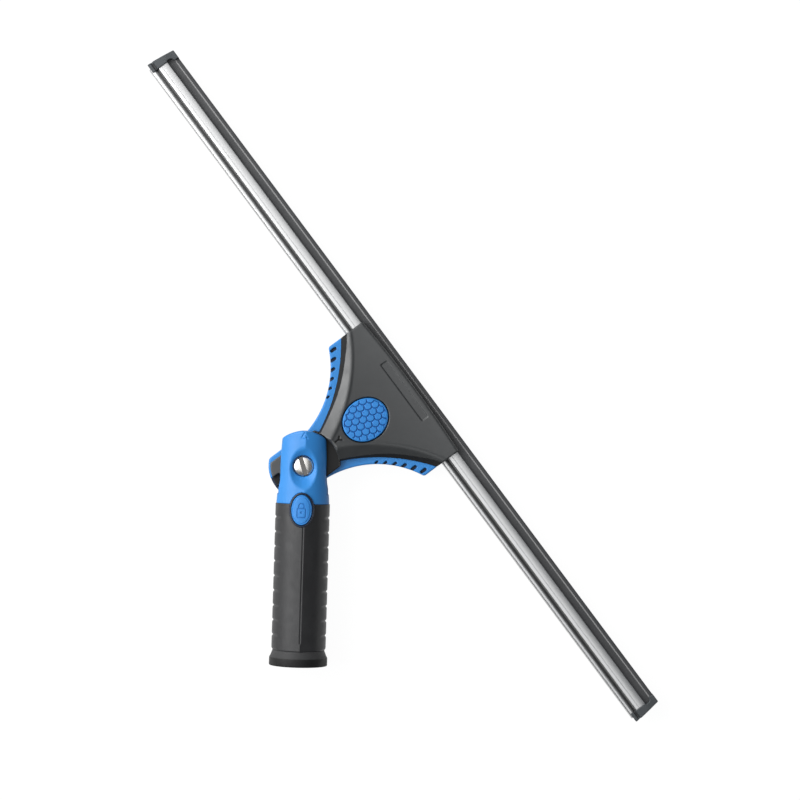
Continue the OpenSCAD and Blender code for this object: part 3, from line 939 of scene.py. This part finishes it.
def make_rubber():
    low, high = span("rubber_blade", HEAD)
    bead = arc_points(7.4, 0, 1.78, 180, 32, 12)
    half = bead + [(9.1, 0.9), (14.5, 0.9), (14.75, 0.95), (14.95, 1.1), (15.2, 1.45)]
    half += [(15.35, 1.57), (15.55, 1.6), (17.2, 1.6), (17.42, 1.5), (17.5, 1.3)]
    section = half + [(v, -z) for v, z in reversed(half)][:-1]
    cuts = np.linspace(low[0], high[0], 60)
    piece = smooth(extruded("rubber", shifted(section), cuts, HEAD))
    piece.data.set_sharp_from_angle(angle=math.radians(32))

    def paint(u, v, z):
        # painted highlight: the step in the rubber's face is lightened
        dv = v - CHAN_LOW[1]
        return ramp(dv, 14.7, 15.0) * (1 - ramp(dv, 15.3, 15.5))

    with_painted_light(piece, paint)
    return settle(piece, "rubber_blade", "blade", BLADE)


CLIP_CORNER, CLIP_DEPTH, CLIP_LEAN = 2.2, 5.5, math.tan(math.radians(7.2))


def clip_height(v):
    """Half thickness of an end clip, following the channel's bead, groove and jaw."""
    rise = 2.5 + 1.7 * ramp(v, 3.9, 5.0) - 0.8 * ramp(v, 10, 17.6)
    return rise - 0.3 * (1 - ramp(np.abs(v - 3.6), 0.3, 1.0))


def make_clip(side):
    node = "end_clip_right" if side > 0 else "end_clip_left"
    low, high = span(node, HEAD)
    end = max(abs(low[0]), abs(high[0]))

    def field(u, v, z):
        s, dv, dz = u * side, v - CHAN_LOW[1], z - CHAN_Z
        shape = smax(np.abs(dz) - clip_height(dv), slab(dv, 1.0, 17.68), 0.5)
        shape = smax(shape, s - end + CLIP_LEAN * np.maximum(dv - 2, 0), 0.5)
        window = end - CLIP_DEPTH + 0.7 * ramp(dv, 10.9, 11.4)
        turn = np.clip((dv - 12.6) / CLIP_CORNER, 0, 1)
        reach = window - CLIP_CORNER * (1 - np.sqrt(1 - turn ** 2))
        shape = smax(shape, (reach - s) * 0.8, 0.4)
        metal = np.maximum(np.abs(dz) - np.where(dv > 4.8, 3.22, 1.8), slab(dv, -1, 11.02))
        blade = np.maximum(np.abs(dz) - np.where(dv > 14.6, 1.62, 0.92), slab(dv, 10, 17.52))
        room = np.maximum(np.minimum(metal, blade), s - end + 2.95)
        return np.maximum(shape, -room)

    def paint(u, v, z):
        # painted shade: the shallow groove beside the bead is darkened
        groove = 1 - ramp(np.abs(v - CHAN_LOW[1] - 3.5), 0.3, 0.9)
        return groove * (np.abs(u) < end - 1.2)

    low[0] -= CLIP_CORNER * (side > 0)
    high[0] += CLIP_CORNER * (side < 0)
    piece = moulded(node + "_cap", field, low, high, 0.2, HEAD, paint)
    return settle(piece, node, "blade", CLIP)


# ------------------------------------------------------------ small pieces


def make_head_screws():
    low, high = span("head_screws", HEAD)

    def field(u, v, z):
        r = np.hypot(np.abs(u) - SCREW_U, v - SCREW_V)
        head = smax(np.maximum(r - 3.15, z + 11.25), low[2] - z, 0.8)
        shaft = np.maximum(r - 1.55, slab(z, -11.4, high[2]))
        a, b = np.abs(np.abs(u) - SCREW_U), np.abs(v - SCREW_V)
        cross = np.minimum(np.maximum(a - 0.35, b - 1.5), np.maximum(b - 0.35, a - 1.5))
        return np.maximum(np.minimum(head, shaft), -np.maximum(cross, z - low[2] - 1.2))

    piece = moulded("cover_screws", field, low, high, 0.2, HEAD)
    return settle(piece, "head_screws", "head", STEEL)


def make_nut():
    low, high = span("pivot_nut")

    def field(x, y, z):
        q = y - PIVOT_Y
        r = np.hypot(x, q)
        shape = smax(hexagon(x, q) - 4.98, slab(z, low[2], high[2]), 0.2)
        shape = np.maximum(shape, (r - 5.2 + (low[2] - z) * -1.7) * 0.5 - 0.25)
        return np.maximum(shape, 3.02 - r)

    piece = moulded("swivel_nut", field, low, high, 0.2)
    return settle(piece, "pivot_nut", "handle", STEEL)


def make_spring(name, node, body, turns, place):
    """A compression spring with closed ends, as a swept wire."""
    low, high = span(node, place)
    wire = (high[0] - low[0]) / 28
    r = (high[0] - low[0]) / 2 - wire
    centre = (low + high) / 2
    loops = []
    steps = turns * 32
    for i in range(steps + 1):
        share = i / steps
        rise = low[2] + wire + (high[2] - low[2] - 2 * wire) * ramp(share, -0.05, 1.05)
        t = 2 * math.pi * turns * share
        ring = []
        for k in range(10):
            a = 2 * math.pi * k / 10
            reach = r + wire * math.cos(a)
            x, y = centre[0] + reach * math.cos(t), centre[1] + reach * math.sin(t)
            ring.append((x, y, rise + wire * math.sin(a)))
        loops.append(ring)
    piece = smooth(rings(name, loops, place, "caps"))
    settle(piece, node, body, WIRE)
    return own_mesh(piece)


def make_wave_washer():
    low, high = span("wave_washer")
    middle = (low[2] + high[2]) / 2
    loops = []
    for r, h in ((3.75, -0.1), (5.6, -0.1), (5.6, 0.1), (3.75, 0.1)):
        loops.append([(r * math.sin(t), PIVOT_Y + r * math.cos(t), middle + h + 0.18 * math.sin(3 * t))
                      for t in np.linspace(0, 2 * math.pi, 96, False)])
    piece = edge_split(rings("spring_washer", loops, HERE, "ring"), 0.04, 2)
    return settle(piece, "wave_washer", "handle", WIRE)


def dress_cad():
    """Materials and soft edges for the CAD nodes that stay."""
    finishes = {
        "yoke_pins": STEEL, "stop_pin": STEEL, "thrust_washer_top": ACETAL, "thrust_washer_bottom": ACETAL,
        "lock_catch": CORE, "pivot_bush": BRONZE, "jaw_pad": BLADE, "latch_plate": STEEL,
    }
    for node, material in finishes.items():
        piece = frame["nodes"][node]
        piece.data.materials.clear()
        piece.data.materials.append(material)
        edge_split(piece, 0.12, 2)


# ------------------------------------------------------- stage and camera


def make_stage():
    low = min(cad_box[0].z, 0)
    mesh = bpy.data.meshes.new("floor")
    sheet = bmesh.new()
    bmesh.ops.create_grid(sheet, x_segments=8, y_segments=8, size=6)
    sheet.to_mesh(mesh)
    sheet.free()
    floor = bpy.data.objects.new("floor", mesh)
    bpy.context.scene.collection.objects.link(floor)
    floor.location = (0, 0, low - 0.0002)
    n = Nodes("pale_floor")
    n.set(Roughness=0.9, Emission_Strength=0.96)
    n.shader.inputs["Base Color"].default_value = (0.05, 0.05, 0.05, 1)
    n.shader.inputs["Emission Color"].default_value = (1, 1, 1, 1)
    mesh.materials.append(n.material)
    floor.visible_diffuse = False


def area_light(name, at, towards, size, power, colour=(1, 1, 1)):
    data = bpy.data.lights.new(name, "AREA")
    data.shape = "RECTANGLE"
    data.size, data.size_y = size
    data.energy = power
    data.color = colour
    lamp = bpy.data.objects.new(name, data)
    bpy.context.scene.collection.objects.link(lamp)
    lamp.location = at
    lamp.rotation_euler = (Vector(towards) - Vector(at)).to_track_quat("-Z", "Y").to_euler()


def make_light():
    middle = (0.05, 0.15, 0)
    area_light("key_left", (-1.1, 0.55, 0.9), middle, (1.5, 1.3), 29)
    area_light("top", (-0.6, 0.7, 2.0), (-0.6, 0.7, 0), (2.5, 3), 26)
    world = bpy.data.worlds.new("studio")
    world.use_nodes = True
    world.node_tree.nodes["Background"].inputs["Color"].default_value = (0.9, 0.95, 1, 1)
    world.node_tree.nodes["Background"].inputs["Strength"].default_value = 0.16
    bpy.context.scene.world = world
    bpy.context.scene.view_settings.view_transform = "Standard"


def make_camera():
    distance, width, lean = 1.5, 0.445, math.radians(1.73)
    data = bpy.data.cameras.new("camera")
    data.sensor_width = 36
    data.lens = 36 * distance / width
    data.clip_end = 20
    camera = bpy.data.objects.new("camera", data)
    bpy.context.scene.collection.objects.link(camera)
    camera.location = (0.0523, 0.1491, distance)
    camera.rotation_euler = (0, 0, lean)
    bpy.context.scene.camera = camera


make_camera()
make_stage()
make_light()
make_grip()
make_collar()
make_core()
make_yoke()
make_bezel()
make_lock_button()
make_screw()
make_shell()
make_base()
make_release()
make_channel()
make_rubber()
make_clip(-1)
make_clip(1)
make_head_screws()
make_nut()
make_wave_washer()
make_spring("lock_coil", "lock_spring", "handle", 4, HERE)
make_spring("release_coil", "release_spring", "head", 4, HEAD)
dress_cad()
